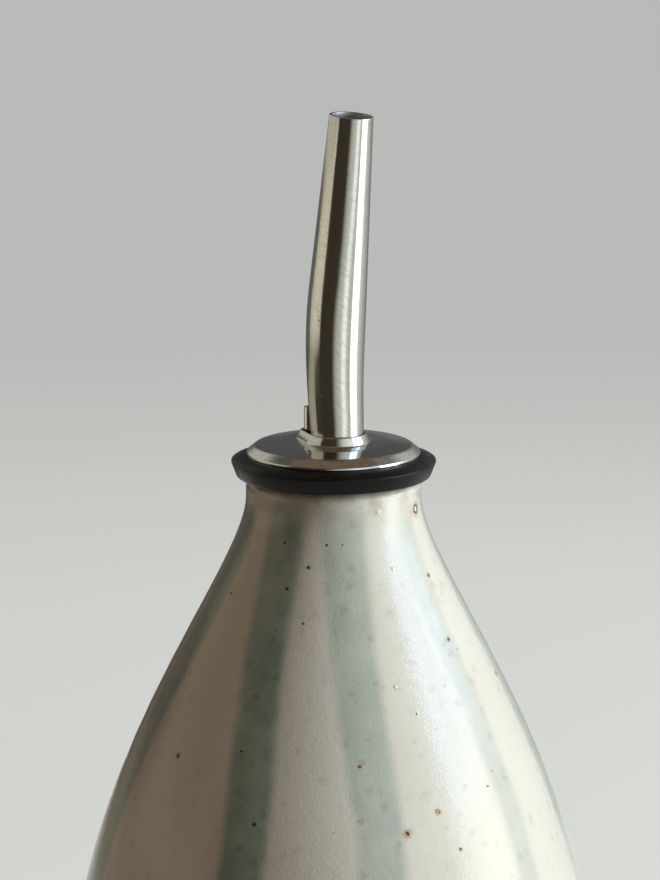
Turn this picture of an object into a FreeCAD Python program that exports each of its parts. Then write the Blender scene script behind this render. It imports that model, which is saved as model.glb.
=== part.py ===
import FreeCAD, Part
import os
from math import acos, cos, radians, sin, tan

from FreeCAD import Vector

# Oil pourer: a thrown stoneware bottle, with a bent steel spout and its air tube held in the neck
# by a ribbed rubber stopper. Millimetres. The origin is the middle of the foot, +Z is up, and the
# spout leans towards +X, away from its air tube.

# Bottle, outside
bottle_height = 145.0
belly_radius = 45.0
belly_height = 50.0
belly_rise = 45.2  # how far the belly's upright tangent reaches up into the shoulder
belly_drop = 27.0  # and down towards the foot
neck_radius = 14.5
neck_length = 3.4  # the upright part below the mouth
neck_flare = 12.7  # how far the neck's upright tangent reaches down into the shoulder
lip_outer_round = 2.0
lip_inner_round = 0.9

# Bottle, foot
foot_radius = 30.5
foot_width = 5.0
foot_recess = 2.2
foot_bevel = 1.6
heel_lean = 52.0  # degrees from upright, where the wall leaves the foot
heel_reach = 13.0

# Bottle, inside
wall = 4.6
floor_thickness = 5.4
floor_radius = 20.0
floor_reach = 16.0
throat_radius = 10.0
throat_length = 12.0
throat_flare = 9.0
inner_belly_rise = 44.0

# Stopper
rib_clearance = 0.08
rib_count = 3
rib_pitch = 3.6
rib_depth = 1.5  # how far the top rib stands out from the plug
rib_taper = 0.12  # how much smaller each rib is than the one above
rib_land = 0.4
rib_rise = 0.4  # from a rib's land up to its root
rib_drop = 1.2  # from a rib's land down to its root
first_rib_depth = 3.0
plug_length = 14.0
plug_tip_round = 1.0
flange_under_radius = 16.0
flange_radius = 17.05
flange_thickness = 2.65
flange_top_rise = 1.0  # from the flange's edge up to the disc's rim
flange_edge_round = 0.15
flange_under_round = 0.4
boss_clearance = 0.05
boss_round = 0.5

# Steel disc and its drawn collar
sheet = 0.45
disc_radius = 14.35
disc_edge = 0.4  # upright edge at the rim
disc_face_radius = 12.95
disc_skirt_height = 1.15
disc_flat_radius = 9.0  # the flat middle that the collar rises from
disc_crown = 0.5  # rise of the face from its edge to that flat
disc_edge_round = 0.15
disc_face_round = 0.6
disc_flat_round = 8.0
collar_height = 1.48
collar_wall = 0.35  # at its top
collar_flare = 0.55  # how much wider it is where it rises from the disc
collar_foot_round = 0.3
collar_tail_radius = 2.0  # its inside, round the air tube
collar_clearance = 0.05

# Spout
spout_offset = 0.7
spout_length = 52.57  # along its line, above the collar
spout_base_radius = 4.39
spout_waist_radius = 4.97  # where its two tapers would meet
spout_tip_radius = 3.56
spout_waist_distance = 18.67  # along its line from the collar
spout_waist_blend = 6.0
spout_wall = 0.5
spout_back_lean = 4.0  # degrees
spout_fore_lean = 5.5  # degrees
spout_base_length = 2.77  # along which it comes to lean back
spout_bend_length = 21.3  # along which it comes to lean forward
spout_rings = 16
spout_inlet_length = 2.0  # below the stopper

# Air tube
air_tube_radius = 0.95
air_tube_wall = 0.3
air_tube_gap = 0.4  # between the two tubes at the collar, because the spout leans back above it
air_tube_top_height = 3.72  # above the collar
air_tube_drop = 16.0  # below the stopper
air_tube_cut_lean = 45.0  # degrees, of its slanted lower end

# Fit of the rubber on both tubes
grip_clearance = 0.03

# Places that follow from the sizes above
mouth = bottle_height
disc_rim_height = mouth + flange_thickness + flange_top_rise
disc_face_height = disc_rim_height + disc_edge + disc_skirt_height
disc_crown_height = disc_face_height + disc_crown
collar_top = disc_crown_height + collar_height
plug_bottom = mouth - plug_length
rib_radius = throat_radius - rib_clearance
plug_radius = rib_radius - rib_depth
air_tube_offset = spout_offset - spout_base_radius - air_tube_gap - air_tube_radius
collar_tail_offset = air_tube_offset - air_tube_radius + collar_tail_radius
air_tube_top = collar_top + air_tube_top_height
spin_axis = Vector(0, 0, 1)
tiny = 1e-6


def point(radius, height):
    return Vector(radius, 0, height)


def line(start, end):
    return Part.LineSegment(start, end).toShape()


def curve(*poles):
    bezier = Part.BezierCurve()
    bezier.setPoles(list(poles))
    return bezier.toShape()


def rounded_corner(before, corner, after, radius):
    """The start, middle and end of the arc that rounds a corner."""
    back = (before - corner).normalize()
    ahead = (after - corner).normalize()
    half = back.getAngle(ahead) / 2
    reach = radius / tan(half)
    bisector = (back + ahead).normalize()
    middle = corner + bisector * (radius / sin(half) - radius)
    return corner + back * reach, middle, corner + ahead * reach


def outline(corners):
    """A closed wire in the XZ plane through corners of (radius, height, round)."""
    spots = [point(radius, height) for radius, height, _ in corners]
    count = len(spots)
    arcs = []
    for i, (_, _, round_radius) in enumerate(corners):
        if round_radius:
            arcs.append(rounded_corner(spots[i - 1], spots[i], spots[(i + 1) % count], round_radius))
        else:
            arcs.append((spots[i], None, spots[i]))
    edges = []
    for i, (start, middle, end) in enumerate(arcs):
        if middle:
            edges.append(Part.Arc(start, middle, end).toShape())
        next_start = arcs[(i + 1) % count][0]
        if (next_start - end).Length > tiny:
            edges.append(line(end, next_start))
    return Part.Wire(edges)


def turned(wire):
    """The solid that a closed outline makes when it is spun about the upright axis."""
    return Part.Face(wire).revolve(Vector(0, 0, 0), spin_axis, 360)


def rod(radius, offset, bottom, top):
    return Part.makeCylinder(radius, top - bottom, Vector(offset, 0, bottom))


def bottle_outside():
    """Edges from the foot's inner edge, under the foot and up the outside to the lip."""
    foot_inner = foot_radius - foot_width
    heel = point(foot_radius + foot_bevel, foot_bevel)
    heel_pull = Vector(sin(radians(heel_lean)), 0, cos(radians(heel_lean))) * heel_reach
    belly = point(belly_radius, belly_height)
    neck = point(neck_radius, mouth - neck_length)
    lip_side = point(neck_radius, mouth - lip_outer_round)
    return [
        line(point(foot_inner - foot_recess, foot_recess), point(foot_inner, 0)),
        line(point(foot_inner, 0), point(foot_radius, 0)),
        line(point(foot_radius, 0), heel),
        curve(heel, heel + heel_pull, belly - spin_axis * belly_drop, belly),
        curve(belly, belly + spin_axis * belly_rise, neck - spin_axis * neck_flare, neck),
        line(neck, lip_side),
    ]


def bottle_lip():
    """Edges over the lip, from the neck's outside to the throat."""
    corner = point(neck_radius, mouth)
    outer = rounded_corner(point(neck_radius, 0), corner, point(0, mouth), lip_outer_round)
    corner = point(throat_radius, mouth)
    inner = rounded_corner(point(neck_radius, mouth), corner, point(throat_radius, 0), lip_inner_round)
    return [Part.Arc(*outer).toShape(), line(outer[2], inner[0]), Part.Arc(*inner).toShape()]


def bottle_inside():
    """Edges down the inside, from the lip to the middle of the floor."""
    throat_top = point(throat_radius, mouth - lip_inner_round)
    throat_bottom = point(throat_radius, mouth - throat_length)
    belly = point(belly_radius - wall, belly_height)
    floor_level = foot_recess + floor_thickness
    floor_edge = point(floor_radius, floor_level)
    floor_pull = Vector(floor_reach, 0, 0)
    return [
        line(throat_top, throat_bottom),
        curve(throat_bottom, throat_bottom - spin_axis * throat_flare,
              belly + spin_axis * inner_belly_rise, belly),
        curve(belly, belly - spin_axis * belly_drop, floor_edge + floor_pull, floor_edge),
        line(floor_edge, point(0, floor_level)),
    ]


def make_bottle():
    """The bottle, thrown in one piece, with its hollow, its lip and its turned foot."""
    underside = point(0, foot_recess)
    recess_edge = point(foot_radius - foot_width - foot_recess, foot_recess)
    axis = line(point(0, foot_recess + floor_thickness), underside)
    under = line(underside, recess_edge)
    edges = [under] + bottle_outside() + bottle_lip() + bottle_inside() + [axis]
    return turned(Part.Wire(edges))


def stopper_outline():
    corners = [(0, plug_bottom, 0), (plug_radius, plug_bottom, plug_tip_round)]
    for i in reversed(range(rib_count)):
        land = mouth - first_rib_depth - i * rib_pitch
        edge = rib_radius - i * rib_taper
        corners.append((plug_radius, land - rib_drop, 0))
        corners.append((edge, land, 0))
        corners.append((edge, land + rib_land, 0))
        corners.append((plug_radius, land + rib_land + rib_rise, 0))
    boss_radius = disc_face_radius - sheet - boss_clearance
    boss_top = disc_face_height - sheet - boss_clearance
    corners += [
        (plug_radius, mouth, 0),
        (flange_under_radius, mouth, flange_under_round),
        (flange_radius, mouth + flange_thickness, flange_edge_round),
        (disc_radius, disc_rim_height, 0),
        (boss_radius, disc_rim_height, 0),
        (boss_radius, boss_top, boss_round),
        (disc_flat_radius, boss_top + disc_crown, disc_flat_round),
        (0, boss_top + disc_crown, 0),
    ]
    return outline(corners)


def make_stopper():
    """The rubber stopper: a ribbed plug under a sloping flange, with a hole for each tube."""
    stopper = turned(stopper_outline())
    spout_hole = rod(spout_base_radius + grip_clearance, spout_offset, plug_bottom - 1, collar_top)
    air_hole = rod(air_tube_radius + grip_clearance, air_tube_offset, plug_bottom - 1, collar_top)
    return stopper.cut(spout_hole).cut(air_hole)


def egg_wire(growth, height):
    """The outline that wraps both tubes: a wide end round the spout and a tail round the air tube."""
    big = spout_base_radius + growth
    small = collar_tail_radius + growth
    turn = acos((small - big) / (spout_offset - collar_tail_offset))
    big_middle = point(spout_offset, height)
    small_middle = point(collar_tail_offset, height)
    right = Vector(cos(turn), sin(turn), 0)
    left = Vector(cos(turn), -sin(turn), 0)
    ahead = Vector(1, 0, 0)
    return Part.Wire([
        Part.Arc(big_middle + left * big, big_middle + ahead * big, big_middle + right * big).toShape(),
        line(big_middle + right * big, small_middle + right * small),
        Part.Arc(small_middle + right * small, small_middle - ahead * small,
                 small_middle + left * small).toShape(),
        line(small_middle + left * small, big_middle + left * big),
    ])


def disc_shell():
    """The disc before its collar: a crowned face, a sloping skirt and an upright edge, one sheet thick."""
    skirt_top = disc_rim_height + disc_edge
    inner_face_radius = disc_face_radius - sheet
    inner_edge_radius = disc_radius - sheet
    return turned(outline([
        (inner_edge_radius, disc_rim_height, 0),
        (disc_radius, disc_rim_height, disc_edge_round),
        (disc_radius, skirt_top, disc_edge_round),
        (disc_face_radius, disc_face_height, disc_face_round),
        (disc_flat_radius, disc_crown_height, disc_flat_round),
        (0, disc_crown_height, 0),
        (0, disc_crown_height - sheet, 0),
        (disc_flat_radius, disc_crown_height - sheet, disc_flat_round),
        (inner_face_radius, disc_face_height - sheet, disc_face_round - sheet),
        (inner_edge_radius, skirt_top, 0),
    ]))


def rounds_collar_foot(edge):
    """Whether an edge runs round the collar where it rises out of the disc's flat middle."""
    box = edge.BoundBox
    level = abs(box.ZMin - disc_crown_height) + abs(box.ZMax - disc_crown_height) < tiny
    return level and box.XMax < disc_flat_radius - disc_crown


def make_disc():
    """The pressed disc with the collar drawn up from it round both tubes."""
    top_growth = collar_clearance + collar_wall
    foot = egg_wire(top_growth + collar_flare, disc_crown_height)
    collar = Part.makeLoft([foot, egg_wire(top_growth, collar_top)], True, True)
    blank = disc_shell().fuse(collar).removeSplitter()
    blank = blank.makeFillet(collar_foot_round, [edge for edge in blank.Edges if rounds_collar_foot(edge)])
    inside = Part.Face(egg_wire(collar_clearance, disc_rim_height))
    return blank.cut(inside.extrude(spin_axis * (collar_top + 1 - disc_rim_height)))


def spout_lean(distance):
    """The spout's lean from upright, in degrees, at a distance along its line from the collar."""
    if distance < spout_base_length:
        return -spout_back_lean * distance / spout_base_length
    share = min((distance - spout_base_length) / spout_bend_length, 1)
    return (spout_back_lean + spout_fore_lean) * share - spout_back_lean


def spout_size(distance):
    """The spout's outer radius there: it widens up to its waist and tapers beyond, blended between."""
    past = distance - spout_waist_distance
    widening = (spout_waist_radius - spout_base_radius) / spout_waist_distance
    taper = (spout_waist_radius - spout_tip_radius) / (spout_length - spout_waist_distance)
    reach = abs(past)
    if reach < spout_waist_blend:
        reach = (past ** 2 + spout_waist_blend ** 2) / (2 * spout_waist_blend)
    return spout_waist_radius - (taper - widening) / 2 * past - (taper + widening) / 2 * reach


def direction(lean):
    """The unit vector that leans from upright towards +X by an angle in degrees."""
    return Vector(sin(radians(lean)), 0, cos(radians(lean)))


def spout_solid(inset):
    """The solid inside the spout's outer face, or inside its bore, from the inlet to the tip."""
    step = spout_length / spout_rings
    middle = Vector(spout_offset, 0, collar_top)
    rings = []
    for i in range(spout_rings + 1):
        distance = i * step
        ring = Part.Circle(middle, direction(spout_lean(distance)), spout_size(distance) - inset)
        rings.append(Part.Wire([ring.toShape()]))
        middle += direction(spout_lean(distance + step / 2)) * step
    inlet = plug_bottom - spout_inlet_length
    return Part.makeLoft(rings, True).fuse(rod(spout_base_radius - inset, spout_offset, inlet, collar_top))


def make_spout():
    """The tapered, bent spout and the straight inlet that it stands on, one thin tube."""
    return spout_solid(0).cut(spout_solid(spout_wall)).removeSplitter()


def make_air_tube():
    """The air tube beside the spout, cut square at its top and on a slant at its lower end."""
    bottom = plug_bottom - air_tube_drop
    slant = air_tube_radius * tan(radians(air_tube_cut_lean))
    tube = rod(air_tube_radius, air_tube_offset, bottom, air_tube_top)
    tube = tube.cut(rod(air_tube_radius - air_tube_wall, air_tube_offset, bottom, air_tube_top))
    reach = 2 * (air_tube_radius + slant)
    knife = Part.makeBox(2 * reach, 2 * reach, reach, Vector(-reach, -reach, -reach))
    knife.rotate(Vector(0, 0, 0), Vector(0, 1, 0), air_tube_cut_lean)
    knife.translate(Vector(air_tube_offset, 0, bottom + slant))
    return tube.cut(knife)


def single_solid(shape):
    """The shape's one solid, so that each file holds just that."""
    assert len(shape.Solids) == 1, "a piece fell apart or is empty"
    return shape.Solids[0]


def main():
    os.makedirs("parts", exist_ok=True)
    pieces = {
        "bottle": make_bottle(),
        "stopper": make_stopper(),
        "disc": make_disc(),
        "spout": make_spout(),
        "air_tube": make_air_tube(),
    }
    for name, shape in pieces.items():
        solid = single_solid(shape)
        solid.exportStep(f"parts/{name}.step")
        box = solid.BoundBox
        print(name, "volume", round(solid.Volume, 1), "valid", solid.isValid(),
              "height", round(box.ZMin, 2), "to", round(box.ZMax, 2))


main()
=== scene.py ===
from math import acos, atan2, cos, pi, radians, sin, tan

import bmesh
import bpy
from mathutils import Matrix, Vector, noise


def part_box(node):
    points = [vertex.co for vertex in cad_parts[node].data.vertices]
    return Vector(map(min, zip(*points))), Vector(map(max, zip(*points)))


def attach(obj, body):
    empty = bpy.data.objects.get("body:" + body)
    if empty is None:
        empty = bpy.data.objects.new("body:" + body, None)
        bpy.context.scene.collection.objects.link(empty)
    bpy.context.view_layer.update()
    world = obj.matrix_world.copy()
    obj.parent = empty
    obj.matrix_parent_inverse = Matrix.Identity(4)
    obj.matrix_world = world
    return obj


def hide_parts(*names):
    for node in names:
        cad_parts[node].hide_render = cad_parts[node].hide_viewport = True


# A thrown stoneware oil bottle with a steel pouring spout in a rubber stopper.
# Sizes in the settings are millimetres and degrees, and the frame's own boxes are metres.

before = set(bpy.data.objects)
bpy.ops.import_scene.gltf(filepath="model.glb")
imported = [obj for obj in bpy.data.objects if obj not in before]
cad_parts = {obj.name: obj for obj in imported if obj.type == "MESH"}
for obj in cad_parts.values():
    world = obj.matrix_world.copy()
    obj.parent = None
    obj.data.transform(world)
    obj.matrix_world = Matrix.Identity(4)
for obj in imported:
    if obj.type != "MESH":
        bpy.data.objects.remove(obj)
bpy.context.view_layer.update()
mm = 0.001
print("frame loaded:", ", ".join(sorted(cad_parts)))


# Objects and meshes

def placeObject(name, data):
    thing = bpy.data.objects.new(name, data)
    bpy.context.scene.collection.objects.link(thing)
    return thing


def meshFrom(name, bm):
    mesh = bpy.data.meshes.new(name)
    bm.to_mesh(mesh)
    bm.free()
    return mesh


# Camera

cameraSettings = {
    "azimuth": 38,
    "elevation": 12.3,
    "distance": 520,  # from the middle of the bottle's mouth
    "aimRight": -0.6,  # where it looks from there, across the view
    "aimUp": 5.7,  # and up it
    "lens": 128.7,
    "nearest": 0.01,  # metres
}


def viewDirection(azimuth, elevation):
    a = radians(azimuth)
    e = radians(elevation)
    return Vector((sin(a) * cos(e), -cos(a) * cos(e), sin(e)))


def makeCamera(settings, mouth):
    back = viewDirection(settings["azimuth"], settings["elevation"])
    right = Vector((0, 0, 1)).cross(back).normalized()
    up = back.cross(right)
    place = mouth + back * settings["distance"] * mm
    aim = mouth + right * settings["aimRight"] * mm + up * settings["aimUp"] * mm
    camera = placeObject("camera", bpy.data.cameras.new("camera"))
    camera.data.lens = settings["lens"]
    camera.data.clip_start = settings["nearest"]
    camera.location = place
    camera.rotation_euler = (aim - place).to_track_quat("-Z", "Y").to_euler()
    bpy.context.scene.camera = camera


mouth = Vector((0, 0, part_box("bottle")[1].z))
makeCamera(cameraSettings, mouth)
print("camera placed")


# Node helpers

def nodeGroup(name, inputs, outputs):
    # inputs go by name with their defaults, and the outputs are all numbers
    group = bpy.data.node_groups.new(name, "ShaderNodeTree")
    for socketName, value in inputs.items():
        kind = "NodeSocketVector" if isinstance(value, tuple) else "NodeSocketFloat"
        socket = group.interface.new_socket(socketName, in_out="INPUT", socket_type=kind)
        socket.default_value = value
    for socketName in outputs:
        group.interface.new_socket(socketName, in_out="OUTPUT", socket_type="NodeSocketFloat")
    return group, group.nodes.new("NodeGroupInput").outputs, group.nodes.new("NodeGroupOutput").inputs


def feed(tree, node, values):
    # values go by socket name or number, and are other nodes' sockets or constants
    for socket, value in values.items():
        if isinstance(value, bpy.types.NodeSocket):
            tree.links.new(value, node.inputs[socket])
        else:
            node.inputs[socket].default_value = value


def addNode(tree, kind, values, **settings):
    node = tree.nodes.new(kind)
    for key, setting in settings.items():
        setattr(node, key, setting)
    feed(tree, node, values)
    return node


def mathNode(tree, operation, first, second=0.0):
    return addNode(tree, "ShaderNodeMath", {0: first, 1: second}, operation=operation).outputs[0]


def plus(tree, first, second):
    return mathNode(tree, "ADD", first, second)


def minus(tree, first, second):
    return mathNode(tree, "SUBTRACT", first, second)


def times(tree, first, second):
    return mathNode(tree, "MULTIPLY", first, second)


def larger(tree, first, second):
    return mathNode(tree, "MAXIMUM", first, second)


def vectorNode(tree, operation, values):
    return addNode(tree, "ShaderNodeVectorMath", values, operation=operation).outputs


def mixColours(tree, factor, first, second):
    # each colour is a socket or (red, green, blue)
    first, second = (c if isinstance(c, bpy.types.NodeSocket) else (*c, 1) for c in (first, second))
    return addNode(tree, "ShaderNodeMix", {0: factor, 6: first, 7: second}, data_type="RGBA").outputs[2]


def mapRange(tree, value, fromLow, fromHigh, toLow=0.0, toHigh=1.0):
    values = {0: value, 1: fromLow, 2: fromHigh, 3: toLow, 4: toHigh}
    return addNode(tree, "ShaderNodeMapRange", values, interpolation_type="SMOOTHSTEP").outputs[0]


def objectPlace(tree):
    return addNode(tree, "ShaderNodeTexCoord", {}).outputs["Object"]


def splitPlace(tree, place):
    return addNode(tree, "ShaderNodeSeparateXYZ", {0: place}).outputs


def noiseNode(tree, place, size, detail=2.0, roughness=0.5, stretch=(1, 1, 1)):
    # size is the width of its blotches in millimetres, stretch how much longer they are along X, Y and Z
    scale = [1 / (size * mm * s) for s in stretch]
    mapping = addNode(tree, "ShaderNodeMapping", {"Vector": place, "Scale": scale})
    values = {"Vector": mapping.outputs[0], "Scale": 1.0, "Detail": detail, "Roughness": roughness}
    return addNode(tree, "ShaderNodeTexNoise", values).outputs[0]


def swing(tree, place, size, amount, **noiseValues):
    # noise that goes as far below zero as above it
    return times(tree, minus(tree, noiseNode(tree, place, size, **noiseValues), 0.5), amount)


def roundPlace(tree, place):
    # turn about the upright axis, distance from it, and height
    x, y, z = splitPlace(tree, place)
    flat = addNode(tree, "ShaderNodeCombineXYZ", {0: x, 1: y}).outputs[0]
    return mathNode(tree, "ARCTAN2", y, x), vectorNode(tree, "LENGTH", {0: flat})["Value"], z


def bumpNormal(tree, height, depth):
    # depth in millimetres
    return addNode(tree, "ShaderNodeBump", {"Height": height, "Distance": depth * mm}).outputs[0]


def groupNode(tree, group, **inputs):
    return addNode(tree, "ShaderNodeGroup", inputs, node_tree=group).outputs


def newMaterial(name, kind="ShaderNodeBsdfPrincipled"):
    material = bpy.data.materials.new(name)
    material.use_nodes = True
    tree = material.node_tree
    tree.nodes.clear()
    shader = tree.nodes.new(kind)
    output = tree.nodes.new("ShaderNodeOutputMaterial")
    tree.links.new(shader.outputs[0], output.inputs[0])
    return material, tree, shader


# Shared effects

def makeSpeckGroup():
    # A round speck at a place on the surface, as a core and a halo about it
    group, given, made = nodeGroup("speck", {
        "Place": (0, 0, 0), "Centre": (0, 0, 0), "Core": 0.0003, "Halo": 0.0006,
    }, ["Core", "Halo"])
    away = vectorNode(group, "DISTANCE", {0: given["Place"], 1: given["Centre"]})["Value"]
    for ring, solid in (("Core", 0.6), ("Halo", 0.25)):
        mask = mapRange(group, away, given[ring], times(group, given[ring], solid))
        group.links.new(mask, made[ring])
    return group


def makeScatterGroup():
    # Specks strewn at random, one to a cell, where the surface passes near enough to its middle
    group, given, made = nodeGroup("strewnSpecks", {
        "Place": (0, 0, 0), "Spacing": 0.004, "Share": 1.0, "Size": 0.0003, "Solid": 0.6,
    }, ["Speck", "Pick"])
    place, spacing, share, size, solid = given[:5]
    scale = mathNode(group, "DIVIDE", 1.0, spacing)
    cells = addNode(group, "ShaderNodeTexVoronoi", {"Vector": place, "Scale": scale})
    split = addNode(group, "ShaderNodeSeparateColor", {0: cells.outputs["Color"]}).outputs
    chosen = mathNode(group, "LESS_THAN", split[0], share)
    reach = times(group, mathNode(group, "DIVIDE", size, spacing), plus(group, split[1], 0.5))
    speck = mapRange(group, cells.outputs["Distance"], reach, times(group, reach, solid))
    group.links.new(times(group, speck, chosen), made["Speck"])
    group.links.new(split[2], made["Pick"])
    return group


markSettings = {
    "fine": 0.17,  # widths of the marks
    "broad": 0.9,
    "long": 6,  # in widths
    "cloud": 5.0,
    "spread": 0.1,  # how much rougher it is between them
    "faintest": 0.42,  # the part of the fine noise that shows as marks
    "strongest": 0.72,
}


def makeMarkGroup(s):
    # Fine polishing marks that run along the third direction
    group, given, made = nodeGroup("polishMarks", {
        "Place": (0, 0, 0), "Haze": 0.05, "Roughness": 0.22,
    }, ["Roughness", "Height", "Mark"])
    place = given["Place"]
    fine = noiseNode(group, place, s["fine"], 3.0, 0.6, (1, 1, s["long"]))
    marks = plus(group, fine, noiseNode(group, place, s["broad"], 2.0, 0.5, (1, 1, s["long"])))
    haze = swing(group, place, s["cloud"], given["Haze"], detail=3.0, roughness=0.55)
    spread = times(group, minus(group, marks, 1.0), s["spread"])
    group.links.new(plus(group, plus(group, haze, spread), given["Roughness"]), made["Roughness"])
    group.links.new(marks, made["Height"])
    group.links.new(mapRange(group, fine, s["faintest"], s["strongest"]), made["Mark"])
    return group


speckGroup = makeSpeckGroup()
scatterGroup = makeScatterGroup()
markGroup = makeMarkGroup(markSettings)


def strewn(tree, place, spacing, size, share=0.8, solid=0.3):
    # millimetres, the share of cells that have a speck, and how much of one is solid
    return groupNode(
        tree, scatterGroup, Place=place, Spacing=spacing * mm, Share=share, Size=size * mm, Solid=solid)


# Mesh helpers

def outlineFromKnots(bm, knots, steps):
    # each knot is (radius, height, handle in, handle out), a missing handle leaving that side straight
    curve = bpy.data.curves.new("outline", "CURVE")
    curve.dimensions = "3D"
    curve.resolution_u = steps
    spline = curve.splines.new("BEZIER")
    spline.bezier_points.add(len(knots) - 1)
    for point, (radius, height, handleIn, handleOut) in zip(spline.bezier_points, knots):
        point.co = (radius * mm, 0, height * mm)
        point.handle_left_type = "FREE" if handleIn else "VECTOR"
        point.handle_right_type = "FREE" if handleOut else "VECTOR"
        if handleIn:
            point.handle_left = (handleIn[0] * mm, 0, handleIn[1] * mm)
        if handleOut:
            point.handle_right = (handleOut[0] * mm, 0, handleOut[1] * mm)
    holder = bpy.data.objects.new("outline", curve)
    bm.from_mesh(holder.to_mesh())
    holder.to_mesh_clear()
    bpy.data.objects.remove(holder)
    bpy.data.curves.remove(curve)


def outlineFromCorners(bm, corners):
    verts = [bm.verts.new((radius * mm, 0, height * mm)) for radius, height in corners]
    for first, second in zip(verts, verts[1:]):
        bm.edges.new((first, second))


def spinOutline(bm, steps):
    bmesh.ops.spin(
        bm, geom=bm.verts[:] + bm.edges[:], cent=(0, 0, 0), axis=(0, 0, 1), dvec=(0, 0, 0),
        angle=2 * pi, space=Matrix.Identity(4), steps=steps, use_merge=True, use_duplicate=False,
    )
    bmesh.ops.remove_doubles(bm, verts=bm.verts[:], dist=0.0005 * mm)
    bmesh.ops.recalc_face_normals(bm, faces=bm.faces[:])


def roundRings(bm, rings, steps=3):
    # each ring is (radius, height, round) of a spun corner
    near = 0.01 * mm
    for radius, height, size in rings:
        edges = [
            edge for edge in bm.edges
            if all(abs(v.co.z - height * mm) < near for v in edge.verts)
            and all(abs(Vector(v.co.xy).length - radius * mm) < near for v in edge.verts)
        ]
        bmesh.ops.bevel(
            bm, geom=edges, offset=size * mm, offset_type="OFFSET", affect="EDGES",
            segments=steps, profile=0.5, material=-1,
        )


def extrudeEdges(bm, edges):
    made = bmesh.ops.extrude_edge_only(bm, edges=edges)["geom"]
    newEdges = [g for g in made if isinstance(g, bmesh.types.BMEdge)]
    return newEdges, [g for g in made if isinstance(g, bmesh.types.BMVert)]


def makePiece(name, bm, body, node, material, sharp=35):
    mesh = meshFrom(name, bm)
    mesh.shade_smooth()
    mesh.set_sharp_from_angle(angle=radians(sharp))
    mesh.materials.append(material)
    piece = placeObject(name, mesh)
    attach(piece, body)
    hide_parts(node)
    return piece


def thicken(piece, wall, insideMaterial):
    piece.data.materials.append(insideMaterial)
    solid = piece.modifiers.new("wall", "SOLIDIFY")
    solid.thickness = wall * mm
    solid.offset = -1
    solid.use_even_offset = True
    solid.material_offset = 1


def softenEdges(piece, size):
    edge = piece.modifiers.new("softEdges", "BEVEL")
    edge.width = size * mm
    edge.segments = 3
    edge.limit_method = "ANGLE"
    edge.angle_limit = radians(50)


def cutHoles(piece, holes):
    # upright round holes of (x, radius), right through
    cutters = []
    for x, radius in holes:
        bm = bmesh.new()
        bmesh.ops.create_cone(
            bm, cap_ends=True, segments=72, radius1=radius * mm, radius2=radius * mm, depth=80 * mm,
            matrix=Matrix.Translation((x * mm, 0, mouth.z)),
        )
        cutters.append(placeObject("cutter", meshFrom("cutter", bm)))
        hole = piece.modifiers.new("hole", "BOOLEAN")
        hole.object = cutters[-1]
        hole.solver = "EXACT"
    whole = piece.data
    piece.data = bpy.data.meshes.new_from_object(piece.evaluated_get(bpy.context.evaluated_depsgraph_get()))
    piece.modifiers.clear()
    bpy.data.meshes.remove(whole)
    for cutter in cutters:
        bpy.data.meshes.remove(cutter.data)


# Bottle

bottleSettings = {
    "turns": 192,
    "curveSteps": 36,
    "foot": 30.5,
    "footWidth": 5.0,
    "footRecess": 2.2,
    "footBevel": 1.6,
    "heelLean": 52,
    "heelReach": 13,
    "bellyHeight": 50,
    "bellyRise": 45.2,
    "bellyDrop": 27,
    "neck": 14.5,
    "neckLength": 3.4,
    "neckFlare": 12.7,
    "lipOuter": 2.0,
    "lipInner": 0.9,
    "throat": 10.0,
    "throatLength": 12,
    "throatFlare": 9,
    "wall": 4.6,
    "innerRise": 44,
    "floor": 7.6,
    "floorRadius": 20,
    "floorReach": 16,
    "footRound": 0.5,
    "throwingPitch": 6.5,  # of the spiral that the fingers leave
    "throwingDepth": 0.05,
    "calmNeck": 14,  # it fades out this far below the top, and towards the foot
    "calmBlend": 20,
    "calmFoot": 8,
    "wobble": 0.12,
    "wobbleSize": 38,
}


def bottleKnots(s, top, belly):
    arc = 0.5523  # the handle's share of a quarter circle's radius
    footInner = s["foot"] - s["footWidth"]
    heel = (s["foot"] + s["footBevel"], s["footBevel"])
    lean = radians(s["heelLean"])
    heelHandle = (heel[0] + s["heelReach"] * sin(lean), heel[1] + s["heelReach"] * cos(lean))
    lip = top - s["lipOuter"]
    lipHandle = lip + arc * s["lipOuter"]
    lipTop = s["neck"] - s["lipOuter"]
    inner = belly - s["wall"]
    innerTop = s["throat"] + s["lipInner"]
    throatTop = top - s["lipInner"]
    throatBottom = top - s["throatLength"]
    neckBottom = top - s["neckLength"]
    middle = s["bellyHeight"]
    return [
        (0, s["footRecess"], None, None),
        (footInner - s["footRecess"], s["footRecess"], None, None),
        (footInner, 0, None, None),
        (s["foot"], 0, None, None),
        (heel[0], heel[1], None, heelHandle),
        (belly, middle, (belly, middle - s["bellyDrop"]), (belly, middle + s["bellyRise"])),
        (s["neck"], neckBottom, (s["neck"], neckBottom - s["neckFlare"]), None),
        (s["neck"], lip, None, (s["neck"], lipHandle)),
        (lipTop, top, (lipTop + arc * s["lipOuter"], top), None),
        (innerTop, top, None, (innerTop - arc * s["lipInner"], top)),
        (s["throat"], throatTop, (s["throat"], throatTop + arc * s["lipInner"]), None),
        (s["throat"], throatBottom, None, (s["throat"], throatBottom - s["throatFlare"])),
        (inner, middle, (inner, middle + s["innerRise"]), (inner, middle - s["bellyDrop"])),
        (s["floorRadius"], s["floor"], (s["floorRadius"] + s["floorReach"], s["floor"]), None),
        (0, s["floor"], None, None),
    ]


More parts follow.
